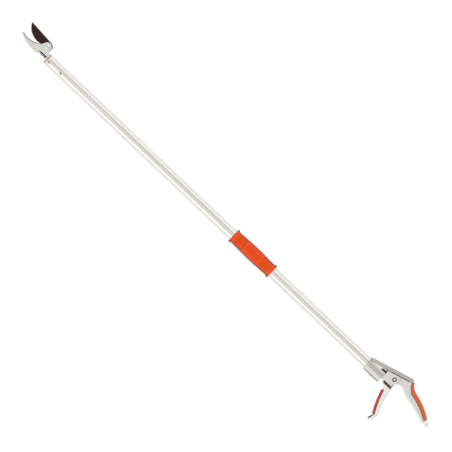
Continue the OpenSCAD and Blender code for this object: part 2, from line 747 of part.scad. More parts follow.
// Rib under the sleeve for its screw
keel_section = [
    [-tube_r, -keel_half],
    [keel_edge - keel_drop, -keel_half],
    [-keel_drop, keel_edge - keel_half],
    [-keel_drop, keel_half - keel_edge],
    [keel_edge - keel_drop, keel_half],
    [-tube_r, keel_half]];

// Room for the trigger between the cheeks
trigger_room = [
    trigger_pivot + [-18, -43],
    trigger_pivot + [-18, -8],
    trigger_pivot + [-10.5, 4],
    trigger_pivot + [9.5, 4],
    trigger_pivot + [19, -8],
    trigger_pivot + [26, -43]];

module handle_frame() {
    color(silver) lying() at_handle() difference() {
        union() {
            along_x(-sleeve_length + 2, 2, sleeve_r);
            rounded_plate(body_outline, -body_half, body_half, handle_edge);
            rounded_plate(cheek_outline, -cheek_half, cheek_half, cheek_edge);
            flat(-body_half + core_side, body_half - core_side) polygon(core_outline);
            flat(-web_half, web_half) polygon(web_outline);
            translate([spine_foot[0], spine_foot[1], 0]) rotate([0, 0, spine_angle]) rotate([90, 0, 90])
                linear_extrude(norm(spine_end - spine_foot) - 1) polygon(spine_section);
            translate([-sleeve_length + 5, 0, 0]) rotate([90, 0, 90])
                linear_extrude(sleeve_length - 3.5) polygon(keel_section);
        }
        for (z = [-body_half - far + seam, body_half - seam]) translate([spine_end[0], spine_end[1], z])
            rotate([0, 0, spine_angle]) translate([-52, -spine_depth - seam, 0]) cube([44, seam, far]);
        along_x(-sleeve_length - far, 0.3, tube_r + fit_gap);
        along_x(0, eye_x + 1, rod_nut_r + 2 * run_gap);
        flat(-pocket_half, pocket_half) union() {
            translate(trigger_pivot) circle(hub_r + 3.8);
            polygon(trigger_room);
        }
        upright(trigger_pivot, -far, far, trigger_bolt_r + fit_gap);
        upright(trigger_pivot, cheek_half - nut_recess, far, nut_recess_r);
        upright(trigger_pivot, -far, -cheek_half + head_recess, head_recess_r);
        for (z = [-far - slot_floor, slot_floor]) translate([2.4 - slot_length, tube_r - 2.1, z])
            cube([slot_length, slot_width, far]);
        upright(handle_tip, -far, far, hang_hole_d / 2);
        on_screw() cylinder(h = far, r = screw_r + fit_gap);
    }
}

module handle_screw() {
    color(dull_steel) lying() at_handle() on_screw() {
        translate([0, 0, screw_tip]) cylinder(h = keel_drop - screw_tip + join, r = screw_r);
        translate([0, 0, keel_drop + fit_gap]) cylinder(h = screw_head_h / 2, r = screw_head_r);
        translate([0, 0, keel_drop + fit_gap + screw_head_h / 2])
            cylinder(h = screw_head_h / 2, r1 = screw_head_r, r2 = 0.65 * screw_head_r);
    }
}

module rear_grip() {
    color(orange) lying() at_handle() difference() {
        rounded_plate(grip_outline, -body_half - grip_side, body_half + grip_side, pad_edge);
        flat(-body_half + core_side - face_gap, body_half - core_side + face_gap) polygon(core_outline);
    }
}

// Front and back of the lever at a depth below the tube axis, and the pad on its front
function lever_share(d) = (d - pad_from) / (pad_to - pad_from);
function lever_front(d) =
    let (s = lever_share(d)) [pad_top_x + lever_lean * s - 4 * lever_bow * s * (1 - s), -d];
function lever_back(d) = lever_front(d) + [lever_depth * (1 - 0.2 * lever_share(d)), 0];
pad_front = [for (i = [0:14]) lever_front(pad_from + (pad_to - pad_from) * i / 14)];
pad_back = shifted(pad_front, pad_thickness);
lever_outline = concat(
    [for (q = [[-0.49, -0.14], [-1.01, -0.85], [-1.09, -1.37]]) trigger_pivot + crank_r * q],
    [[pad_top_x - 1, 1.3 - pad_from]],
    shifted(pad_front, pad_thickness + face_gap),
    smooth([
        [foot_x + 1.2, -pad_to - 2.1],
        [foot_x - 0.6, -trigger_drop + 6.5],
        [foot_x - 1.6, -trigger_drop + 2.4],
        [foot_x - 0.2, -trigger_drop]], 2),
    smooth([
        [foot_x + 6.4, -trigger_drop],
        [foot_x + 8, -trigger_drop + 1.8],
        [foot_x + 8.5, -trigger_drop + 9],
        lever_back(0.8 * trigger_drop)], 2),
    [for (d = [0.73:-0.07:0.13]) lever_back(d * trigger_drop)],
    [trigger_pivot + [8.5, -17], trigger_pivot + [6.5, -5]]);

module trigger() {
    color(silver) lying() at_handle() difference() {
        union() {
            rounded_plate(lever_outline, -trigger_half, trigger_half, lever_edge);
            upright(trigger_pivot, -trigger_half, trigger_half, hub_r);
        }
        difference() {
            union() {
                upright(trigger_pivot, -channel_half, channel_half, channel_r);
                translate([0, -rod_nut_r - run_gap, -channel_half])
                    cube([trigger_pivot_x - 2.5, rod_nut_r + trigger_pivot_y + 1, 2 * channel_half]);
            }
            upright(trigger_pivot, -far, far, hub_r);
        }
        for (z = [-far - step_half, step_half]) translate([trigger_pivot_x - 20, step_low, z])
            cube([30, step_top - step_low, far]);
        upright(trigger_pivot, -far, far, trigger_bolt_r + pin_gap);
        upright(trigger_pin, -far, far, trigger_pin_r + fit_gap);
    }
}

module trigger_pad() {
    pad_half = trigger_half + pad_side;
    color(orange) lying() at_handle()
        rounded_plate(concat(pad_front, reverse(pad_back)), -pad_half, pad_half, pad_edge);
}

module trigger_link_pin() {
    color(zinc) lying() at_handle()
        upright(trigger_pin, -trigger_half + 2 * face_gap, trigger_half - 2 * face_gap, trigger_pin_r);
}

module trigger_pivot_bolt() {
    color(dull_steel) lying() at_handle() {
        upright(trigger_pivot, -cheek_half + head_recess - join, cheek_half - 0.6, trigger_bolt_r);
        upright(trigger_pivot, -cheek_half + 0.5, -cheek_half + head_recess - fit_gap,
            head_recess_r - run_gap);
    }
}

module trigger_pivot_nut() {
    color(dull_steel) lying() at_handle() difference() {
        translate([trigger_pivot[0], trigger_pivot[1], cheek_half - nut_recess + join])
            cylinder(h = 0.7 * nut_recess, r = nut_recess_r - run_gap / 2, $fn = 6);
        upright(trigger_pivot, -far, far, trigger_bolt_r + fit_gap);
    }
}

module trigger_washers() {
    spacer_z = trigger_half + face_gap;
    color(nylon) lying() at_handle() for (z0 = [-spacer_z - spacer_h, spacer_z]) difference() {
        upright(trigger_pivot, z0, z0 + spacer_h, hub_r);
        upright(trigger_pivot, -far, far, trigger_bolt_r + fit_gap);
    }
}

tube();
tube_collar();
mid_grip();
rod_guides();
rear_bush();
head_casting();
head_rivets();
cutting_blade();
blade_link_pin();
blade_pivot_bolt();
blade_pivot_nut();
blade_washer();
return_spring();
pull_rod();
front_fork();
rear_eye();
rod_lock_nut();
handle_frame();
handle_screw();
rear_grip();
trigger();
trigger_pad();
trigger_link_pin();
trigger_pivot_bolt();
trigger_pivot_nut();
trigger_washers();
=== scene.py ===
# %% [markdown]
# # A long-reach pruner on a studio floor
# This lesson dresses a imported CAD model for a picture. The model is a pole of aluminium tube with a
# hooked cutting head at one end and a trigger handle at the other. Its solids are already the right size
# and in the right place, so they are loaded as a frame that is never moved. Blender adds what a solid
# can't show: the finish of each metal and rubber, and the small forms of moulded grips, wound wire and
# fasteners.

# %% Load the frame
import math

import bmesh
import bpy
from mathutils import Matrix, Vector


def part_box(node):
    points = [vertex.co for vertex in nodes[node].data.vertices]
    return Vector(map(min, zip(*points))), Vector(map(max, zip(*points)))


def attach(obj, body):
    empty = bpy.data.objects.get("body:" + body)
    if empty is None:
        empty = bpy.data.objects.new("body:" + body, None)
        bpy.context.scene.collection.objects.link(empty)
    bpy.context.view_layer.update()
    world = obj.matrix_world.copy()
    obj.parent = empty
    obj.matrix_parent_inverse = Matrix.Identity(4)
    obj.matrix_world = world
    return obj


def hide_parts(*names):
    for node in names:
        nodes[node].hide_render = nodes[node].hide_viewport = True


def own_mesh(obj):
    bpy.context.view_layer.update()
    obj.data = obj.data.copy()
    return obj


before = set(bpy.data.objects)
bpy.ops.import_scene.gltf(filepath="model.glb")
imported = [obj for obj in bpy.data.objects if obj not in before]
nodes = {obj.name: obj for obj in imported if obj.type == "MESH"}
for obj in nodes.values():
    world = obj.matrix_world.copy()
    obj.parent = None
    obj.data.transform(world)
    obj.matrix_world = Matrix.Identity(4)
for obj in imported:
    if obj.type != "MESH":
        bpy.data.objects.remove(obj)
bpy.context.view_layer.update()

MM = 0.001

# %% [markdown]
# ## Measuring from the tube
# A maker measures this tool from the head end of its tube: along the tube, up to the spine side, and out
# towards the eye. `at` turns such millimetres into the scene's metres, and `on_handle` does the same from
# the other end of the tube. The thin collar that closes the tube's head end gives both the axis and the
# end.

# %% A maker's ruler
ALONG, UP, OUT = (Vector(way) for way in ((1.0, 0.0, 0.0), (0.0, 1.0, 0.0), (0.0, 0.0, 1.0)))
collar_low, collar_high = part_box("tube_collar")
tube_low, tube_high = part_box("tube")
ruler = Vector((collar_high.x, (collar_low.y + collar_high.y) / 2, (collar_low.z + collar_high.z) / 2))
TUBE_LENGTH = (tube_high.x - tube_low.x) / MM
TUBE_R = (tube_high.y - tube_low.y) / 2 / MM


def at(along, up, out=0.0):
    return ruler + Vector((along, up, out)) * MM


def on_handle(along, up, out=0.0):
    return at(TUBE_LENGTH + along, up, out)


print(f"tube {TUBE_LENGTH:.0f} mm, axis at {ruler.y / MM:.1f}, {ruler.z / MM:.1f} mm")

# %% [markdown]
# ## Camera
# The tool lies flat and is seen from straight above, turned so that the pole runs from the upper left to
# the lower right of a square picture. A long lens far away keeps both ends the same size. The height and
# the width of the picture at the tube give the lens angle.

# %% Camera
CAMERA_TURN = math.radians(43.5)
CAMERA_HEIGHT, CAMERA_REACH = 12.0, 50.0
PICTURE_WIDTH, PICTURE_MIDDLE = 0.9605, (518.0, 3.5)
scene = bpy.context.scene
camera = bpy.data.objects.new("camera", bpy.data.cameras.new("camera"))
scene.collection.objects.link(camera)
camera.location = at(*PICTURE_MIDDLE, CAMERA_HEIGHT / MM)
camera.rotation_euler = (0.0, 0.0, CAMERA_TURN)
camera.data.angle = 2 * math.atan(PICTURE_WIDTH / 2 / CAMERA_HEIGHT)
camera.data.clip_end = CAMERA_REACH
scene.camera = camera
print(f"lens angle {math.degrees(camera.data.angle):.1f} degrees")

# %% [markdown]
# ## Colours and nodes
# Colours are picked on a screen, so they are written as sRGB hex values, and `linear` turns them into the
# linear values that a renderer adds up. `add` adds a node: a setting that is named like an input goes
# into that input, any other is set on the node itself, and links are made by input. `surface` starts a
# material and sets the sockets of its shader that are the same all over.

# %% Helpers for colours and nodes


def linear(hex_value):
    channels = [int(hex_value[i : i + 2], 16) / 255 for i in (1, 3, 5)]
    return tuple(c / 12.92 if c <= 0.04045 else ((c + 0.055) / 1.055) ** 2.4 for c in channels) + (1.0,)


def add(tree, kind, settings=(), links=()):
    node = tree.nodes.new(kind)
    for name, value in dict(settings).items():
        if isinstance(name, int) or name in node.inputs:
            node.inputs[name].default_value = value
        else:
            setattr(node, name, value)
    for name, source in dict(links).items():
        tree.links.new(source, node.inputs[name])
    return node


def surface(name, **settings):
    material = bpy.data.materials.new(name)
    material.use_nodes = True
    shader = material.node_tree.nodes["Principled BSDF"]
    for socket, value in settings.items():
        shader.inputs[socket.replace("_", " ").title().replace("Ior", "IOR")].default_value = value
    return material, material.node_tree, shader


print("middle grey in linear light:", [round(c, 3) for c in linear("#808080")])

# %% [markdown]
# ## Floor
# A catalogue picture has pure white all round and hardly a shadow. In a studio, a sheet of white board
# that is lit from behind gives that. Here the board glows by itself, which is simpler than lights under
# it. It lies a hair below the tool, so that the two never share a face.

# %% Floor
FLOOR_HALF, FLOOR_DROP, FLOOR_GLOW = 12.0, 0.4 * MM, 0.84
scene.view_settings.view_transform = "Standard"
floor_corners = [(x * FLOOR_HALF, y * FLOOR_HALF, -FLOOR_DROP) for x, y in ((-1, -1), (1, -1), (1, 1), (-1, 1))]
floor_mesh = bpy.data.meshes.new("floor")
floor_mesh.from_pydata(floor_corners, [], [(0, 1, 2, 3)])
floor = bpy.data.objects.new("floor", floor_mesh)
scene.collection.objects.link(floor)
# Matt white board: no shine at all, and so bright by itself that shadows fade on it.
white_board = surface(
    "white_board",
    base_color=linear("#8C8C8B"),
    roughness=0.95,
    emission_color=linear("#FFFFFF"),
    emission_strength=FLOOR_GLOW,
)[0]
floor.data.materials.append(white_board)
print("floor", 2 * FLOOR_HALF, "m wide")

# %% [markdown]
# ## Light
# Round metal shows what stands around it, so the light is built as a photographer would: a dim white room
# and large soft panels. A long panel on each side of the pole draws a bright band along the tube, the one
# on the trigger's side brighter, and a weaker panel overhead leaves a grey line between the two bands.
# Area lights of the panels' real size do this without any shape in the scene.

# %% Room and soft panels
ROOM_LIGHT = 0.6
SOFT_PANELS = (
    ("trigger_side_panel", (0.0, -2.1, 1.45), 4.0, 2.2, 0.98),
    ("spine_side_panel", (0.0, 2.2, 1.2), 4.0, 2.2, 0.7),
    ("overhead_panel", (0.0, 0.0, 4.0), 5.0, 2.6, 0.44),
)
world = bpy.data.worlds.new("studio_room")
scene.world = world
world.use_nodes = True
walls = world.node_tree.nodes["Background"]
walls.inputs["Color"].default_value = linear("#FFFDF9")
walls.inputs["Strength"].default_value = ROOM_LIGHT
for name, stand, width, depth, glow in SOFT_PANELS:
    light = bpy.data.lights.new(name, "AREA")
    light.shape, light.size, light.size_y = "RECTANGLE", width, depth
    light.energy = glow * math.pi * width * depth
    panel = bpy.data.objects.new(name, light)
    panel.location = stand
    panel.rotation_euler = (math.atan2(-stand[1], stand[2]), 0.0, 0.0)
    scene.collection.objects.link(panel)
    print(f"{name}: {light.energy:.0f} W")

# %% [markdown]
# ## Aluminium tube
# The pole is drawn aluminium tube with a clear anodised skin. Drawing leaves fine lines along the tube,
# and the skin makes the shine satin. A picture of a brushed plate could be wrapped round it, but a noise
# texture that is squeezed across the tube and stretched along it gives lines without a seam. `grained`
# then lets such a pattern break up the shine and, where it is deep enough, roughen the surface.

# %% Drawn anodised aluminium
LINE_WIDTH, LINE_LENGTH = 1.5 * MM, 180 * MM  # real lines are about 0.1 mm apart, too fine for the picture


def grained(tree, shader, pattern, rough, strength=0.0, depth=0.0):
    shine = add(tree, "ShaderNodeMapRange", {"To Min": rough[0], "To Max": rough[1]}, {"Value": pattern})
    tree.links.new(shine.outputs["Result"], shader.inputs["Roughness"])
    if depth:
        bump = add(tree, "ShaderNodeBump", {"Strength": strength, "Distance": depth * MM}, {"Height": pattern})
        tree.links.new(bump.outputs["Normal"], shader.inputs["Normal"])


# Drawn and anodised: a pale satin metal with faint streaks that follow the tube.
drawn_aluminium, tree, shader = surface(
    "drawn_anodised_aluminium", base_color=linear("#DEDCD9"), metallic=1.0, roughness=0.3
)
place = add(tree, "ShaderNodeTexCoord").outputs["Object"]
line_scale = (1 / LINE_LENGTH, 1 / LINE_WIDTH, 1 / LINE_WIDTH)
squeezed = add(tree, "ShaderNodeMapping", {"Scale": line_scale}, {"Vector": place})
lines = add(tree, "ShaderNodeTexNoise", {"Scale": 1.0, "Detail": 3.0}, {"Vector": squeezed.outputs["Vector"]})
streaks = add(tree, "ShaderNodeValToRGB", links={"Fac": lines.outputs["Fac"]})
for stop, position, tone in zip(streaks.color_ramp.elements, (0.3, 0.7), ("#D7D5D2", "#E2E1DE")):
    stop.position, stop.color = position, linear(tone)
tree.links.new(streaks.outputs["Color"], shader.inputs["Base Color"])
grained(tree, shader, lines.outputs["Fac"], (0.24, 0.36), 0.08, 0.05)
print(drawn_aluminium.name)

# %% [markdown]
# ## Masking and painting
# A maker who wants one part of a piece in another tone sticks tape along its edges and paints what is
# left free. `masked` does the same with measures on the part itself, so a mask stays in place as the part
# turns. A tape is a way, a corner on its edge, and how many millimetres past that corner the mask is
# clear and is full; without a way it is a round tape, measured from its middle. A sign is any other
# measured value, such as how deep in a corner a point lies, with its two limits. `painted` lays coats of
# colour through such masks, and `mottled` gives the clouded two-tone ground that lies under them.

# %% Masks, coats and clouds


def masked(tree, place, tapes=(), signs=()):
    limits = list(signs)
    for way, corner, clear, full in tapes:
        if way is None:
            flat = add(tree, "ShaderNodeVectorMath", {"operation": "MULTIPLY", 1: (1.0, 1.0, 0.0)}, {0: place})
            settings = {"operation": "DISTANCE", 1: (corner.x, corner.y, 0.0)}
            gone, start = add(tree, "ShaderNodeVectorMath", settings, {0: flat.outputs["Vector"]}), 0.0
        else:
            settings = {"operation": "DOT_PRODUCT", 1: way}
            gone, start = add(tree, "ShaderNodeVectorMath", settings, {0: place}), way.dot(corner)
        limits.append((gone.outputs["Value"], start + clear * MM, start + full * MM))
    mask = None
    for measured, clear, full in limits:
        settings = {"interpolation_type": "SMOOTHSTEP", "From Min": clear, "From Max": full}
        free = add(tree, "ShaderNodeMapRange", settings, {"Value": measured}).outputs["Result"]
        if mask is not None:
            free = add(tree, "ShaderNodeMath", {"operation": "MULTIPLY"}, {0: mask, 1: free}).outputs["Value"]
        mask = free
    return mask


def painted(tree, colour, coats):
    for mask, tone in coats:
        settings = {"data_type": "RGBA", "B": linear(tone)}
        colour = add(tree, "ShaderNodeMix", settings, {"Factor": mask, "A": colour}).outputs["Result"]
    return colour


def mottled(tree, place, size, detail, tones):
    clouds = add(tree, "ShaderNodeTexNoise", {"Scale": 1 / size, "Detail": detail}, {"Vector": place})
    settings = {"data_type": "RGBA", "A": linear(tones[0]), "B": linear(tones[1])}
    ground = add(tree, "ShaderNodeMix", settings, {"Factor": clouds.outputs["Fac"]})
    return clouds.outputs["Fac"], ground.outputs["Result"]


# The black of painted shade, laid in deep corners and slots.
SHADE_BLACK = "#1B1816"
print("deepest black in linear light:", [round(c, 4) for c in linear(SHADE_BLACK)])

# %% [markdown]
# ## Cast aluminium
# Head, handle and trigger are pressure castings in aluminium, tumbled with stones until they are pale and
# satin. The stones don't reach every face, so some keep the greyer mould skin, and deep corners are
# painted black as shade. One material with painted vertices could show that, but masks are easier to
# move. All three castings share grain, blotches and corners painted black as shade, so one function makes
# them, and each brings the areas of its own.

# %% Cast aluminium
GRAIN, BLOTCH, CORNER_REACH = 1.0 * MM, 9.0 * MM, 6.0 * MM  # marks of stones of a few millimetres
TUMBLED, LONG_TUMBLED = ("#D8D7D4", "#E3E2DF"), ("#EBEAE8", "#F5F4F2")
OCCLUSION_RAYS = 12


# Tumbled casting: a pale, soft, uneven satin, painted black as shade in its deep corners.
def casting(name, tones, black_limits, black_tapes, *areas):
    material, tree, shader = surface(name, base_color=linear(tones[1]), metallic=1.0, roughness=0.42)
    place = add(tree, "ShaderNodeTexCoord").outputs["Object"]
    grain = add(tree, "ShaderNodeTexNoise", {"Scale": 1 / GRAIN, "Detail": 2.0}, {"Vector": place})
    grained(tree, shader, grain.outputs["Fac"], (0.34, 0.5), 0.12, 0.08)
    satin = mottled(tree, place, BLOTCH, 3.0, tones)[1]
    deep = add(tree, "ShaderNodeAmbientOcclusion", {"samples": OCCLUSION_RAYS, "Distance": CORNER_REACH})
    # Painted shade: corners that the occlusion node finds deep are painted black.
    black = masked(tree, place, black_tapes, [(deep.outputs["AO"], *black_limits)])
    coats = [(masked(tree, place, tapes), tone) for tone, *tapes in areas] + [(black, SHADE_BLACK)]
    tree.links.new(painted(tree, satin, coats), shader.inputs["Base Color"])
    print(name, "with", len(coats), "coats")
    return material


print(f"casting grain {GRAIN / MM:.0f} mm, blotches {BLOTCH / MM:.0f} mm")

# %% [markdown]
# ## Head
# The inner edge of the head's hook, where the branch lies, is painted darker as the shade on its bevelled
# face. That edge is part of a circle, so one round tape marks it, and a straight one keeps it on the hook.
# Only the deepest corners of the head are painted black as shade.

# %% Head casting
HOOK_MIDDLE, HOOK_R, HOOK_ROOT = at(-61.9, 48.8), 44.6, at(-35.0, 0.0)
# Painted shade: a darker strip along the hook's inner edge.
hook_edge_shade = (None, HOOK_MIDDLE, HOOK_R + 2.2, HOOK_R + 1.2), (ALONG, HOOK_ROOT, 4.0, -4.0)
head_aluminium = casting("tumbled_head_casting", TUMBLED, (0.3, 0.12), [], ("#77736E", *hook_edge_shade))

# %% [markdown]
# ## Handle
# The handle casting has the most faces that tumbling left alone. The sleeve and the spine keep a warm
# mould skin, laid in bands that also paint the shade on the round sleeve and on the spine's upward face.
# Painted shade lines run along the spine's foot and top and along the lower edge of the sleeve. The tip of
# the rear handle gets a painted highlight, and the slot above the sleeve's end is painted black as shade.
# Each is a strip between straight edges, and a line is laid after the skin that it lies on.

# %% Handle casting
PIVOT = Vector((24.5, 13.0))
SPINE_END, SPINE_TURN, SPINE_DEPTH = PIVOT + Vector((32.0, 29.0)), math.radians(15.6), 8.2
LINE_IN, LINE_OUT, EDGE = 0.9, 1.3, 0.2
HANDLE_TURN, HANDLE_TIP = math.radians(-18.9), on_handle(137.0, -10.2)
SLEEVE_SKIN_AND_SHADE, SPINE_SKIN_AND_SHADE, SHADE_LINE, PAINTED_HIGHLIGHT = "#C2BDB7", "#B9B4AF", "#857E78", "#F7F6F4"
spine_out = Vector((-math.sin(SPINE_TURN), math.cos(SPINE_TURN), 0.0))
down_handle = Vector((math.cos(HANDLE_TURN), math.sin(HANDLE_TURN), 0.0))
spine_foot, sleeve_end = on_handle(*SPINE_END) - spine_out * SPINE_DEPTH * MM, on_handle(2.0, 0.0)
on_spine, on_sleeve = (spine_out, spine_foot, -EDGE, EDGE), (ALONG, sleeve_end, EDGE, -EDGE)
handle_aluminium = casting(
    "tumbled_handle_casting",
    TUMBLED,
    (0.62, 0.3),
    # Painted shade: black only past the start of the slot above the sleeve's end.
    [(ALONG, sleeve_end, -10.4, -9.8)],
    # Painted highlight on the tip of the rear handle.
    (PAINTED_HIGHLIGHT, (down_handle, HANDLE_TIP, -6.0, -3.0)),
    # Mould skin and painted shade on the sleeve, left pale on its lit lower side and along its top.
    (SLEEVE_SKIN_AND_SHADE, on_sleeve, (UP, ruler, -14.0, -4.0), (UP, ruler, 9.0, 5.0)),
    # Painted shade line along the sleeve's lower edge.
    (SHADE_LINE, on_sleeve, (UP, ruler, -13.0, -14.2)),
    # Mould skin and painted shade on the spine's upward face.
    (SPINE_SKIN_AND_SHADE, on_spine),
    # Painted shade lines along the spine's foot and along its top.
    (SHADE_LINE, on_spine, (spine_out, spine_foot, LINE_OUT, LINE_IN), (ALONG, sleeve_end, 2.0, 6.0)),
    (SHADE_LINE, (spine_out, spine_foot, SPINE_DEPTH - LINE_OUT, SPINE_DEPTH - LINE_IN)),
)

# %% [markdown]
# ## Trigger
# The trigger was tumbled longer and is the palest casting. The front of its foot, below the pad, is
# painted dark as shade. It is painted black only high up, as the shade between the handle's cheeks.

# %% Trigger casting
FOOT_FRONT, PAD_FOOT, CHEEK_FOOT = on_handle(41.4, -74.6), on_handle(0.0, -73.2), on_handle(0.0, -13.0)
foot_way = Vector((9.0, -2.8, 0.0)).normalized()
trigger_aluminium = casting(
    "tumbled_trigger_casting",
    LONG_TUMBLED,
    (0.9, 0.6),
    # Painted shade: black only high up, between the handle's cheeks.
    [(UP, CHEEK_FOOT, -4.0, 0.0)],
    # Painted shade on the front of the foot, below the pad.
    ("#4A413C", (foot_way, FOOT_FRONT, 2.6, 1.8), (UP, PAD_FOOT, 0.3, -0.3)),
)

# %% [markdown]
# ## Blade
# The blade is carbon steel with a baked dark coating against sap and rust, almost black with a brown
# cast. Its ground bevel is bare steel, and so is its round end, where it rubs on the head. The bevel is
# the only face that leans at a middling angle to the blade's flat sides, so the direction of the face is
# mask enough. Two straight tapes mark the round end, on the upper side only.

# %% Coated blade steel
PEEL = 1.6 * MM  # the real skin of the coating is finer, about 0.3 mm, and wouldn't show
BEVEL_LEAN, BEVEL_SPREAD = -0.83, 0.14
BLADE_PIVOT = at(-19.5, 18.5)
# Baked coating: dark, brownish and dull, beside the cold grey shine of ground steel.
blade_coating, tree, shader = surface(
    "baked_blade_coating", base_color=linear("#2E1B14"), roughness=0.4, ior=1.42, specular_ior_level=0.25
)
spot = add(tree, "ShaderNodeTexCoord")
place = spot.outputs["Object"]
facing = add(tree, "ShaderNodeSeparateXYZ", links={0: spot.outputs["Normal"]}).outputs["Z"]
peel, coat = mottled(tree, place, PEEL, 3.0, ("#281711", "#341F16"))
lean = add(tree, "ShaderNodeMath", {"operation": "COMPARE", 1: BEVEL_LEAN, 2: BEVEL_SPREAD}, {0: facing})
round_end = [(ALONG, BLADE_PIVOT, 4.0, 6.0), (UP, BLADE_PIVOT, 5.5, 3.5)]
rubbed = masked(tree, place, round_end, [(facing, 0.6, 0.9)])
bare = add(tree, "ShaderNodeMath", {"operation": "MAXIMUM"}, {0: lean.outputs["Value"], 1: rubbed})
tree.links.new(bare.outputs["Value"], shader.inputs["Metallic"])
tree.links.new(painted(tree, coat, [(bare.outputs["Value"], "#B9BABB")]), shader.inputs["Base Color"])
grained(tree, shader, peel, (0.34, 0.48), 0.1, 0.05)
print(blade_coating.name)

# %% [markdown]
# ## Orange grips and collar
# The grips are a moulded rubber-like plastic, and the mould was spark eroded, which leaves a fine matt
# grain. Hands rub the rubber a little paler, and grooves and steep sides are painted browner as shade: an
# occlusion node finds the grooves, and the direction of the face finds the sides. The middle grip has a
# smoother, deeper orange panel in its middle, and painted shade on the ears of its end stops. The rear grip
# is a paler orange, and the trigger's pad is the same orange darkened as painted shade. The collar is hard
# nylon, smoother than rubber. One loop makes all four.

# %% Orange mouldings
SPARK_GRAIN = 0.8 * MM  # real grain is about half as coarse, and wouldn't show
RUB, GROOVE_REACH = 14.0 * MM, 3.0 * MM
PANEL_HALF, PANEL_FADE, STOP_SHADE = 20.0, 3.0, "#7C2C0C"
grip_low, grip_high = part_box("mid_grip")
grip_middle, grip_half = (grip_low + grip_high) / 2, (grip_high.x - grip_low.x) / 2 / MM
panel_edges = [(way, grip_middle, PANEL_HALF + PANEL_FADE, PANEL_HALF - PANEL_FADE) for way in (ALONG, -ALONG)]
grip_areas = [("#EE4600", *panel_edges)]
# Painted shade on the sides of the end stops.
for end in (ALONG, -ALONG):
    for ear in (UP, -UP):
        ear_shade_edges = (end, grip_middle, grip_half - 6.0, grip_half - 4.0), (ear, ruler, 11.0, 14.0)
        grip_areas.append((STOP_SHADE, *ear_shade_edges))
orange = {}
for name, tones, shade_tone, rough, bump, areas in (
    # Moulded rubber: a full orange with a soft shine, painted browner as shade in the grooves.
    ("moulded_orange_rubber", ("#F45008", "#FA5A14"), STOP_SHADE, (0.26, 0.38), 0.25, grip_areas),
    # Paler rubber: a lighter and duller orange.
    ("paler_orange_rubber", ("#DC6034", "#E2693E"), "#8A4024", (0.4, 0.54), 0.25, []),
    # Shaded rubber: the orange darkened to a dull brick, as painted shade on the trigger's pad.
    ("shaded_orange_rubber", ("#C04426", "#CC4E30"), "#6E2C1A", (0.4, 0.54), 0.25, []),
    # Moulded nylon: darker, smoother and a little glossier.
    ("moulded_orange_nylon", ("#B23A0A", "#C04410"), "#66260A", (0.3, 0.4), 0.08, []),
):
    orange[name], tree, shader = surface(
        name, base_color=linear(tones[0]), roughness=rough[0], ior=1.5, specular_ior_level=0.22
    )
    spot = add(tree, "ShaderNodeTexCoord")
    place = spot.outputs["Object"]
    grain = add(tree, "ShaderNodeTexNoise", {"Scale": 1 / SPARK_GRAIN, "Detail": 1.0}, {"Vector": place})
    grained(tree, shader, grain.outputs["Fac"], rough, bump, 0.1)
    colour = mottled(tree, place, RUB, 4.0, tones)[1]
    facing = add(tree, "ShaderNodeSeparateXYZ", links={0: spot.outputs["Normal"]}).outputs["Z"]
    level = add(tree, "ShaderNodeMath", {"operation": "ABSOLUTE"}, {0: facing}).outputs["Value"]
    deep = add(tree, "ShaderNodeAmbientOcclusion", {"samples": OCCLUSION_RAYS, "Distance": GROOVE_REACH})
    coats = [(masked(tree, place, tapes), tone) for tone, *tapes in areas]
    # Painted shade: grooves and steep sides are painted browner.
    for sign in ((level, 0.7, 0.3), (deep.outputs["AO"], 0.9, 0.4)):
        coats.append((masked(tree, place, signs=[sign]), shade_tone))
    tree.links.new(painted(tree, colour, coats), shader.inputs["Base Color"])
    print(name, "with", len(coats), "coats")

# %% [markdown]
# ## Steel and nylon hardware
# Bolts, pins, rod and washers are zinc plated. The nut that sits in the handle's round pocket is dark
# steel. The spring is drawn wire, painted dark as the shade among its coils, the rivets are aluminium
# greyed as painted shade, and the guides inside the tube are black nylon. All of them are painted black
# as shade in their corners. They differ in colour, shine and cloud size only, so one loop makes them, with
# a noise for the clouds.

# %% Hardware finishes
hardware = {}
for name, tones, metal, rough, cloud in (
    # Zinc plating: bright and cold, with a cloudy bloom.
    ("zinc_plated_steel", ("#DEDFE0", "#F6F6F6"), 1.0, (0.34, 0.48), 3.0),
    # Dark steel: a dark ring that still shines a little.
    ("dark_steel", ("#2A2826", "#3B3836"), 1.0, (0.36, 0.5), 2.5),
    # Spring wire, painted dark and warm as the shade among its coils, with a sharper shine.
    ("dark_shaded_spring_wire", ("#3A3532", "#57504A"), 1.0, (0.28, 0.4), 1.5),
    # Rivet aluminium, dull and greyed as painted shade: flat grey dots on the brighter tube.
    ("shade_grey_rivet_aluminium", ("#A09D98", "#B9B6B1"), 1.0, (0.4, 0.55), 2.0),
    # Moulded black nylon: nearly black, with a weak broad shine.
    ("moulded_black_nylon", ("#161616", "#232322"), 0.0, (0.42, 0.56), 2.0),
):
    hardware[name], tree, shader = surface(
        name, base_color=linear(tones[1]), metallic=metal, roughness=rough[0]
    )
    place = add(tree, "ShaderNodeTexCoord").outputs["Object"]
    bloom, colour = mottled(tree, place, cloud * MM, 4.0, tones)
    grained(tree, shader, bloom, rough)
    deep = add(tree, "ShaderNodeAmbientOcclusion", {"samples": OCCLUSION_RAYS, "Distance": CORNER_REACH})
    # Painted shade: corners that the occlusion node finds deep are painted black.
    corner_shade_mask = masked(tree, place, signs=[(deep.outputs["AO"], 0.75, 0.3)])
    tree.links.new(painted(tree, colour, [(corner_shade_mask, SHADE_BLACK)]), shader.inputs["Base Color"])
print(list(hardware))

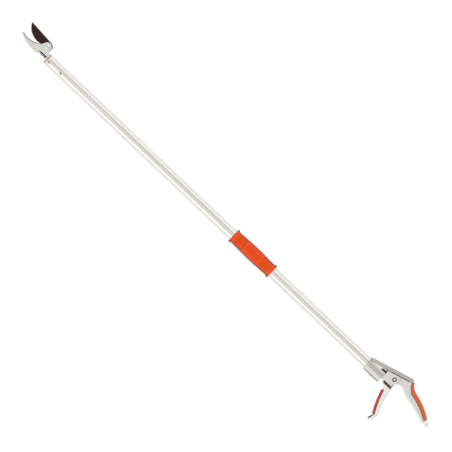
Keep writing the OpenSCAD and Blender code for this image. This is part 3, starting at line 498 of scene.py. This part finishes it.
# %% [markdown]
# ## Smooth solids
# CAD solids arrive as triangles that don't share corners, so round faces look faceted. A modifier that
# smooths by angle needs shared corners, so a small geometry node group welds them first and then shades
# smoothly across every edge that is flatter than 35 degrees. The mesh itself stays untouched.

# %% Weld and smooth
SMOOTH_UNDER, WELD_WITHIN = math.radians(35), 0.002 * MM
smoothing = bpy.data.node_groups.new("weld_and_smooth", "GeometryNodeTree")
for way in ("INPUT", "OUTPUT"):
    smoothing.interface.new_socket("Geometry", in_out=way, socket_type="NodeSocketGeometry")
solid_in = add(smoothing, "NodeGroupInput").outputs[0]
weld = add(smoothing, "GeometryNodeMergeByDistance", {"Distance": WELD_WITHIN}, {"Geometry": solid_in})
rounded = add(
    smoothing,
    "GeometryNodeSetShadeSmooth",
    {"domain": "FACE", "Shade Smooth": True},
    {"Geometry": weld.outputs["Geometry"]},
)
edge_turn = add(smoothing, "GeometryNodeInputMeshEdgeAngle").outputs["Unsigned Angle"]
flatter = {"data_type": "FLOAT", "operation": "LESS_THAN", "B": SMOOTH_UNDER}
flat_edge = add(smoothing, "FunctionNodeCompare", flatter, {"A": edge_turn})
creased = add(
    smoothing,
    "GeometryNodeSetShadeSmooth",
    {"domain": "EDGE"},
    {"Geometry": rounded.outputs["Geometry"], "Shade Smooth": flat_edge.outputs["Result"]},
)
add(smoothing, "NodeGroupOutput", links={0: creased.outputs["Geometry"]})
print("smoothing group with", len(smoothing.nodes), "nodes")

# %% [markdown]
# ## Finishes on the solids
# Each solid of the frame gets the material of the real piece. Most of the small ones are zinc plated
# steel, so only the others are listed.

# %% Finish the solids
finish_of = {
    "tube": drawn_aluminium,
    "tube_collar": orange["moulded_orange_nylon"],
    "mid_grip": orange["moulded_orange_rubber"],
    "rear_grip": orange["paler_orange_rubber"],
    "trigger_pad": orange["shaded_orange_rubber"],
    "head_casting": head_aluminium,
    "handle_frame": handle_aluminium,
    "trigger": trigger_aluminium,
    "cutting_blade": blade_coating,
    "head_rivets": hardware["shade_grey_rivet_aluminium"],
    "return_spring": hardware["dark_shaded_spring_wire"],
    "trigger_pivot_nut": hardware["dark_steel"],
    "rod_guides": hardware["moulded_black_nylon"],
    "rear_bush": hardware["moulded_black_nylon"],
    "trigger_washers": hardware["moulded_black_nylon"],
}
for name, solid in nodes.items():
    solid.data.materials.clear()
    solid.data.materials.append(finish_of.get(name, hardware["zinc_plated_steel"]))
    solid.modifiers.new("weld_and_smooth", "NODES").node_group = smoothing
print(len(nodes), "solids finished,", len(finish_of), "of them not in zinc")

# %% [markdown]
# ## Pieces that a solid shows too stiffly
# Rubber, wire and small fasteners are modelled again, with the solids' sizes but with the soft forms of
# the real pieces. Modifiers on the solids could round them a little, but not crown a pad or roll an edge.
# So all of them are skins over rows of rings: `skin` joins each ring to the next with four-sided faces
# and closes both ends. Each new piece rides on the body of the solid it stands for.


def skin(name, finish, node, body, *stacks):
    corners, faces = [], []
    for rings in stacks:
        first, count = len(corners), len(rings[0])
        corners += [tuple(corner) for ring in rings for corner in ring]
        for k in range(len(rings) - 1):
            for i in range(count):
                a, b = first + k * count + i, first + k * count + (i + 1) % count
                faces.append((a, b, b + count, a + count))
        for ring in (0, len(rings) - 1):
            corners.append(tuple(sum((Vector(corner) for corner in rings[ring]), Vector()) / count))
            start = first + ring * count
            faces += [(start + i, start + (i + 1) % count, len(corners) - 1) for i in range(count)]
    mesh = bpy.data.meshes.new(name)
    mesh.from_pydata(corners, [], faces)
    shape = bmesh.new()
    shape.from_mesh(mesh)
    bmesh.ops.recalc_face_normals(shape, faces=shape.faces)
    shape.to_mesh(mesh)
    shape.free()
    mesh.materials.append(finish)
    piece = bpy.data.objects.new(name, mesh)
    scene.collection.objects.link(piece)
    piece.modifiers.new("weld_and_smooth", "NODES").node_group = smoothing
    if node:
        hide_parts(node)
    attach(piece, body)
    print(f"{name}: {len(mesh.polygons)} faces")
    return piece


# %% [markdown]
# ## Middle grip
# The middle grip is a rubber sleeve, slightly barrel shaped, with six grooves between rounded ribs
# towards each end and a stop at each end that holds the hand. Its plain middle has a slightly raised
# panel, and the mould leaves a thin ridge along both sides. It is a lathe part, so one list of radii makes
# it: `turned` sweeps that list round an axis, and a small swell that depends on the angle adds the panel,
# the ridges and the ears of the stops. `ease` is a smooth step from 0 to 1 between two measures.

# %% Turned rings


def ease(value, low, high):
    share = min(max((value - low) / (high - low), 0.0), 1.0)
    return share * share * (3 - 2 * share)


def turned(centre, axis, profile, sides, shape=lambda along, radius, angle: (along, radius)):
    side = ALONG if abs(axis.x) < 0.5 else OUT
    crosswise = axis.cross(side).normalized()
    side = crosswise.cross(axis)
    rings = []
    for along, radius in profile:
        ring = []
        for angle in (2 * math.pi * i / sides for i in range(sides)):
            height, reach = shape(along, radius, angle)
            spoke = side * math.cos(angle) + crosswise * math.sin(angle)
            ring.append(centre + (axis * height + spoke * reach) * MM)
        rings.append(ring)
    return rings


print("eased a quarter of the way:", ease(0.25, 0.0, 1.0))

# %% Middle grip
GRIP_AT, GRIP_LENGTH = (grip_low.x - ruler.x) / MM, (grip_high.x - grip_low.x) / MM
GRIP_END_R, GRIP_SWELL, GRIP_STEP, GRIP_SIDES = TUBE_R + 1.8, 1.6, 0.4, 120
BORE_R = TUBE_R + 0.05
STOP_R, STOP_WIDTH, STOP_ROUND = (grip_high.y - grip_low.y) / 2 / MM, 3.4, 1.4
STOP_EARS, STOP_ROOT = 0.9, 0.6
RIB_PITCH, RIB_FIRST, RIB_COUNT, RIB_DEPTH = 4.4, 9.8, 6, 1.1
GROOVE_HALF = 0.3 * RIB_PITCH
PANEL_RISE, PANEL_RUN, PANEL_TURN = 0.35, (19.0, 17.5), (math.radians(27), math.radians(22))
RIDGE_RISE, RIDGE_HALF = 0.2, 0.5


def sleeve_radius(along):
    from_end = min(along, GRIP_LENGTH - along)
    barrel = GRIP_END_R + GRIP_SWELL * (1 - (2 * along / GRIP_LENGTH - 1) ** 2)
    nearest = min(max(round((from_end - RIB_FIRST) / RIB_PITCH), 0), RIB_COUNT - 1)
    groove = abs(from_end - RIB_FIRST - nearest * RIB_PITCH) / GROOVE_HALF
    if groove < 1:
        barrel -= RIB_DEPTH * (0.5 + 0.5 * math.cos(math.pi * groove))
    stop = STOP_R - (STOP_R - GRIP_END_R + STOP_ROOT) * ease(from_end, STOP_WIDTH, 1.7 * STOP_WIDTH)
    short = max(STOP_ROUND - from_end, 0.0)
    stop -= STOP_ROUND - math.sqrt(STOP_ROUND**2 - short**2)
    return max(barrel, stop)


def panel_and_ridges(along, radius, angle):
    if radius <= GRIP_END_R - RIB_DEPTH:
        return along, radius
    turn = abs((angle + math.pi) % (2 * math.pi) - math.pi)
    panel = ease(turn, *PANEL_TURN) * ease(abs(along - GRIP_LENGTH / 2), *PANEL_RUN)
    ridge = math.exp(-(((turn - math.pi / 2) * GRIP_END_R / RIDGE_HALF) ** 2))
    at_stop = ease(min(along, GRIP_LENGTH - along), 1.6 * STOP_WIDTH, STOP_WIDTH)
    ears = STOP_EARS * math.sin(angle) ** 4 * at_stop
    return along, radius + (PANEL_RISE * panel + RIDGE_RISE * ridge + ears)


steps = round(GRIP_LENGTH / GRIP_STEP)
profile = [(GRIP_LENGTH * k / steps, sleeve_radius(GRIP_LENGTH * k / steps)) for k in range(steps + 1)]
profile = [(0.0, BORE_R)] + profile + [(GRIP_LENGTH, BORE_R)]
rings = turned(at(GRIP_AT, 0.0), ALONG, profile, GRIP_SIDES, panel_and_ridges)
skin("ribbed_middle_grip", orange["moulded_orange_rubber"], "mid_grip", "pole", rings)

# %% [markdown]
# ## Pads between two curves
# Two soft pads are moulded on to the castings where a hand pulls. Each is described by two curves, its
# outer face and its seat on the metal. A bevelled curve object would have the same section all along, so
# `soft_section` draws a section for each place between the curves, with rounded edges and a slightly
# crowned outer face, and `soft_band` sets these in a row and rounds both ends. `through` draws a smooth
# curve through points, and `evenly` spaces points along it.

# %% Soft bands
ROUND_STEP, ROUND_POINTS, FACE_POINTS = 15, 7, 12


def runs(curve):
    run = [0.0]
    for before, after in zip(curve, curve[1:]):
        run.append(run[-1] + (after - before).length)
    return run


def through(points, steps):
    curve = []
    for i in range(len(points) - 1):
        a, b = points[max(i - 1, 0)], points[i]
        c, d = points[i + 1], points[min(i + 2, len(points) - 1)]
        for t in (k / steps for k in range(steps)):
            bend = (2 * a - 5 * b + 4 * c - d) * t * t + (3 * b - a - 3 * c + d) * t**3
            curve.append(b + ((c - a) * t + bend) / 2)
    return curve + [points[-1]]


def evenly(curve, count):
    run = runs(curve)
    places, k = [], 0
    for goal in (run[-1] * i / (count - 1) for i in range(count)):
        while k < len(curve) - 2 and run[k + 1] < goal:
            k += 1
        places.append(curve[k].lerp(curve[k + 1], (goal - run[k]) / (run[k + 1] - run[k])))
    return places


def soft_section(depth, half, outer_round, inner_round, crown):
    outer_round, inner_round = min(outer_round, 0.6 * depth), min(inner_round, 0.3 * depth)
    loop = []
    for a, z, radius, start in (
        (outer_round, outer_round - half, outer_round, 270),
        (outer_round, half - outer_round, outer_round, 180),
        (depth - inner_round, half - inner_round, inner_round, 90),
        (depth - inner_round, inner_round - half, inner_round, 0),
    ):
        for angle in (math.radians(start - ROUND_STEP * k) for k in range(ROUND_POINTS)):
            loop.append((a + radius * math.cos(angle), z + radius * math.sin(angle)))
        if start == 270:
            middle = FACE_POINTS / 2
            loop += [(0.0, (half - outer_round) * (k / middle - 1)) for k in range(1, FACE_POINTS)]
    return [(a - crown * (1 - (z / half) ** 2) * (1 - a / depth), z) for a, z in loop]


def soft_band(outside, inside, half, outer_round, inner_round, crown, end_round):
    run = runs(outside)
    rings = []
    for outer, inner, gone in zip(outside, inside, run):
        short = max(end_round - min(gone, run[-1] - gone), 0.0)
        drop = end_round - math.sqrt(end_round**2 - short**2)
        inward = (inner - outer).normalized()
        start = outer + inward * drop
        section = soft_section((inner - start).length, half - 0.5 * drop, outer_round, inner_round, crown)
        rings.append([on_handle(*(start + inward * a), z) for a, z in section])
    return rings


print("points in a pad's section:", len(soft_section(8.0, 10.0, 2.0, 0.6, 0.4)))

# %% [markdown]
# ## Rear grip
# The rear grip covers the back of the rear handle and flares up to the end of the spine, so that the hand
# can't slip off. The handle bows a little and grows thinner towards its tip, and both curves of the grip
# follow that. The flare is drawn through a few points measured from the spine's end.

# %% Rear grip
HANDLE_ROOT, HANDLE_RUN = PIVOT + Vector((38.0, 2.3)), Vector((74.5, -25.5))
HANDLE_OUT = Vector((-HANDLE_RUN.y, HANDLE_RUN.x)).normalized()
HANDLE_HALF, HANDLE_TIP_HALF, HANDLE_BOW, HANDLE_TAPER = 11.3, 6.5, 3.5, 2.2
REAR_FROM, REAR_TO, REAR_STEPS, REAR_SUNK = 0.12, 0.9, 48, 0.6
FLARE_OUT = ((2.4, -4.7), (4.4, -5.0), (6.8, -9.0), (10.4, -12.8), (14.6, -15.6))
FLARE_IN = ((1.2, -5.8), (1.3, -8.4), (3.6, -13.5), (9.0, -19.0))
FLARE_STEPS, CURVE_STEPS = 24, 8


def back_of_handle(share, depth):
    middle = HANDLE_ROOT + HANDLE_RUN * share + HANDLE_OUT * (HANDLE_BOW * 4 * share * (1 - share))
    half = HANDLE_HALF - (HANDLE_HALF - HANDLE_TIP_HALF) * share**HANDLE_TAPER
    return middle + HANDLE_OUT * (half - depth)


def seat(share):
    return back_of_handle(share, HANDLE_HALF * (0.8 - 0.08 * share))


def flare(points, last):
    points = [SPINE_END + Vector(point) for point in points] + [last]
    return evenly(through(points, CURVE_STEPS), FLARE_STEPS)


shares = [REAR_FROM + (REAR_TO - REAR_FROM) * k / REAR_STEPS for k in range(1, REAR_STEPS + 1)]
outside = flare(FLARE_OUT, back_of_handle(REAR_FROM, 0.0))
outside += [back_of_handle(share, REAR_SUNK) for share in shares]
inside = flare(FLARE_IN, seat(REAR_FROM)) + [seat(share) for share in shares]
rings = soft_band(outside, inside, half=13.4, outer_round=2.6, inner_round=0.8, crown=0.4, end_round=1.2)
skin("crowned_rear_grip", orange["paler_orange_rubber"], "rear_grip", "pole", rings)

# %% [markdown]
# ## Trigger pad
# The pad on the front of the trigger takes four fingers. It leans with the lever and is hollowed a little
# along its length. Its seat lies square behind its face, at the same depth all along.

# %% Trigger pad
PAD_FROM, PAD_TO, PAD_FRONT, PAD_LEAN, PAD_BOW, PAD_DEPTH = 19.52, 72.5, 5.8, 21.5, 2.0, 4.5
PAD_POINTS, PAD_STEPS = 60, 48


def front_of_lever(share):
    along = PIVOT.x - PAD_FRONT + PAD_LEAN * share - 4 * PAD_BOW * share * (1 - share)
    return Vector((along, -PAD_FROM - (PAD_TO - PAD_FROM) * share))


outside = evenly([front_of_lever(k / PAD_POINTS) for k in range(PAD_POINTS + 1)], PAD_STEPS)
inside = []
for before, here, after in zip(outside[:1] + outside, outside, outside[1:] + outside[-1:]):
    way = (after - before).normalized()
    inside.append(here + Vector((-way.y, way.x)) * PAD_DEPTH)
rings = soft_band(outside, inside, half=10.0, outer_round=2.2, inner_round=0.6, crown=0.3, end_round=1.6)
skin("crowned_trigger_pad", orange["shaded_orange_rubber"], "trigger_pad", "trigger", rings)

# %% [markdown]
# ## Return spring
# The spring is hard-drawn wire, coiled cold, with its strain baked out, and painted dark as the shade
# among its coils. It pushes the rod back when the trigger is let go. A screw modifier could wind it, but
# rings of wire set square to the coil give clean ends. It sits on the rod, with its far end held by the
# head.

# %% Return spring
WIRE, WIRE_SIDES, COIL_R, COILS, COIL_STEPS = 1.2, 14, 3.7, 5.0, 200
spring_low, spring_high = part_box("return_spring")
coil_from = (spring_low.x - ruler.x) / MM + WIRE / 2
coil_run = (spring_high.x - spring_low.x) / MM - WIRE
wire_angles = [2 * math.pi * i / WIRE_SIDES for i in range(WIRE_SIDES)]
rings = []
for share in (k / COIL_STEPS for k in range(COIL_STEPS + 1)):
    angle = 2 * math.pi * COILS * share
    out = Vector((0.0, math.sin(angle), math.cos(angle)))
    way = Vector((coil_run / (2 * math.pi * COILS * COIL_R), math.cos(angle), -math.sin(angle))).normalized()
    side = way.cross(out)
    centre = Vector((coil_from + coil_run * share, 0.0, 0.0)) + out * COIL_R
    rings.append([at(*(centre + (out * math.cos(a) + side * math.sin(a)) * WIRE / 2)) for a in wire_angles])
spring = skin("coiled_return_spring", hardware["dark_shaded_spring_wire"], "return_spring", "rod", rings)
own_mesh(spring)

# %% [markdown]
# ## Collar
# The collar is a thin nylon ring with rolled edges that closes the end of the tube. A bevel modifier
# could round the solid's edges, but as a lathe part its profile says exactly how far they roll.

# %% Collar
collar_length = (collar_high.x - collar_low.x) / MM
COLLAR_R, COLLAR_EDGE, COLLAR_WALL = (collar_high.y - collar_low.y) / 2 / MM, 0.8, 2.35
TURNED_SIDES = 96
roll = [math.radians(15 * k) for k in range(7)]
rolled_edge = [(COLLAR_EDGE * (1 - math.cos(a)), COLLAR_R - COLLAR_EDGE * (1 - math.sin(a))) for a in roll]
profile = [(0.0, COLLAR_R - COLLAR_WALL)] + rolled_edge
profile += [(collar_length - along, radius) for along, radius in reversed(profile)]
rings = turned(at(-collar_length, 0.0), ALONG, profile, TURNED_SIDES)
skin("nylon_tube_collar", orange["moulded_orange_nylon"], "tube_collar", "pole", rings)

# %% [markdown]
# ## Rivets
# Two blind rivets hold the head in the tube. Such a rivet has a low dome with a small hole in it, where
# the pin broke off when it was set. The profile starts inside the tube's wall, so no gap shows below it.

# %% Rivets
RIVET_TURN, RIVET_SIDES, RIVET_PLACES = math.radians(16), 48, (5.5, 40.5)
SHANK_R, FLANGE_R, HOLE_R, DOME_RISE, DOME_FOOT = 2.0, 2.9, 1.0, 0.95, 0.2
rivet_axis = Vector((0.0, -math.sin(RIVET_TURN), math.cos(RIVET_TURN)))
dome = [math.radians(9 * k) for k in range(11)]
profile = [(-1.2, SHANK_R), (-0.1, SHANK_R), (-0.1, FLANGE_R)]
profile += [(DOME_FOOT + DOME_RISE * math.sin(a), HOLE_R + (FLANGE_R - HOLE_R) * math.cos(a)) for a in dome]
profile += [(1.0, 0.85), (0.5, 0.8), (0.5, 0.3)]
rivet_feet = [at(along, 0.0) + rivet_axis * TUBE_R * MM for along in RIVET_PLACES]
stacks = [turned(foot, rivet_axis, profile, RIVET_SIDES) for foot in rivet_feet]
skin("blind_rivets", hardware["shade_grey_rivet_aluminium"], "head_rivets", "pole", *stacks)

# %% [markdown]
# ## Nuts
# Nuts are cut from hexagon bar, and a lathe then turns both ends to a cone, which leaves the curved edges
# on the six flats. The skin is made the same way: turned to a cone, then cut back to the hexagon.

# %% Nuts
NUT_LEVELS, CONE_START, CONE_SLOPE = 16, 0.47, 1.7


def hex_nut(name, node, finish, bore):
    nut_low, nut_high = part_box(node)
    flats, height = (nut_high.y - nut_low.y) / MM, (nut_high.z - nut_low.z) / MM
    levels = [height * k / NUT_LEVELS for k in range(NUT_LEVELS + 1)]
    profile = [(along, CONE_START * flats + CONE_SLOPE * min(along, height - along)) for along in levels]
    profile = [(0.0, bore)] + profile + [(height, bore)]

    def hexagon(along, radius, angle):
        return along, min(radius, 0.5 * flats / math.cos(angle % (math.pi / 3) - math.pi / 6))

    foot = Vector(((nut_low.x + nut_high.x) / 2, (nut_low.y + nut_high.y) / 2, nut_low.z))
    skin(name, hardware[finish], node, "pole", turned(foot, OUT, profile, TURNED_SIDES, hexagon))


hex_nut("trigger_hex_nut", "trigger_pivot_nut", "dark_steel", 2.5)
hex_nut("blade_hex_nut", "blade_pivot_nut", "zinc_plated_steel", 3.0)

# %% [markdown]
# ## Screw under the sleeve
# A screw with a pan head and a cross recess holds the sleeve on the tube. The head is turned, and the
# recess is a dip in it along two crossed bars, which needs no cutting of one mesh by another.

# %% Screw under the sleeve
SCREW_HEAD_R, SCREW_HEAD, SCREW_SHANK_R, SCREW_RIM, SCREW_CROWN = 3.4, 1.6, 1.9, 0.3, 1.1
SCREW_SUNK, HEAD_RINGS = 5.0, 24
RECESS_DEPTH, RECESS_REACH, RECESS_HALF = 0.9, (2.0, 1.7), (0.6, 0.4)
SLEEVE_LENGTH, SCREW_SHARE = 44.0, 0.45
screw_seat = (ruler.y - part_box("handle_screw")[0].y) / MM - SCREW_HEAD


def cross_recess(along, radius, angle):
    thin, wide = sorted((abs(radius * math.cos(angle)), abs(radius * math.sin(angle))))
    depth = RECESS_DEPTH * ease(wide, *RECESS_REACH) * ease(thin, *RECESS_HALF)
    return along - (depth if along > 0.4 * SCREW_HEAD else 0.0), radius


shares = [k / HEAD_RINGS for k in range(HEAD_RINGS)]
profile = [(-SCREW_SUNK, SCREW_SHANK_R), (0.0, SCREW_SHANK_R), (0.0, SCREW_HEAD_R), (SCREW_RIM, SCREW_HEAD_R)]
profile += [(SCREW_HEAD - SCREW_CROWN * share**4, SCREW_HEAD_R * share) for share in reversed(shares[1:])]
seat_of_screw = on_handle(-SCREW_SHARE * SLEEVE_LENGTH, -screw_seat)
rings = turned(seat_of_screw, -UP, profile, TURNED_SIDES, cross_recess)
skin("pan_head_screw", hardware["zinc_plated_steel"], "handle_screw", "pole", rings)

# %% [markdown]
# ## Fillets beside the spine
# Molten metal doesn't fill a sharp inside corner well, so the pattern of a casting gets a fillet there.
# Here one runs along each side of the spine where it leaves the round sleeve. It starts narrow and grows
# as the spine rises, up to the slot. Each cross section is a shallow hollow curve from the sleeve to the
# lip of the spine, closed inside the metal, so it joins the casting without a seam.

# %% Fillets beside the spine
SLEEVE_R, SPINE_HALF, LIP_DEPTH, LIP_LAP, SIDE_SUNK = 14.55, 14.0, 8.0, 0.3, 0.1
FILLET_FROM, FILLET_TO, FILLET_STEPS, FILLET_POINTS, FILLET_ROOT = -40.0, -11.2, 24, 6, 4.0
DROP_START, DROP_GROWTH, HOLLOW_START, HOLLOW_GROWTH = 1.5, 4.5, 0.15, 0.35


def fillet_section(along, share):
    rise_to_end = (SPINE_END.x - along) * math.tan(SPINE_TURN)
    lip = SPINE_END.y - rise_to_end - LIP_DEPTH / math.cos(SPINE_TURN)
    foot = lip - DROP_START - DROP_GROWTH * share
    rise = math.sqrt(SLEEVE_R**2 - foot**2)
    hollow = HOLLOW_START + HOLLOW_GROWTH * share
    section = []
    for t in (k / FILLET_POINTS for k in range(FILLET_POINTS + 1)):
        out = rise + (SPINE_HALF - SIDE_SUNK - rise) * t - hollow * 4 * t * (1 - t)
        section.append((foot + (lip + LIP_LAP - foot) * t, out))
    return section + [(lip + LIP_LAP, rise - FILLET_ROOT), (foot, rise - FILLET_ROOT)]


stacks = []
for side in (1.0, -1.0):
    rings = []
    for share in (k / FILLET_STEPS for k in range(FILLET_STEPS + 1)):
        along = FILLET_FROM + (FILLET_TO - FILLET_FROM) * share
        rings.append([on_handle(along, up, side * out) for up, out in fillet_section(along, share)])
    stacks.append(rings)
skin("spine_fillets", handle_aluminium, None, "pole", *stacks)
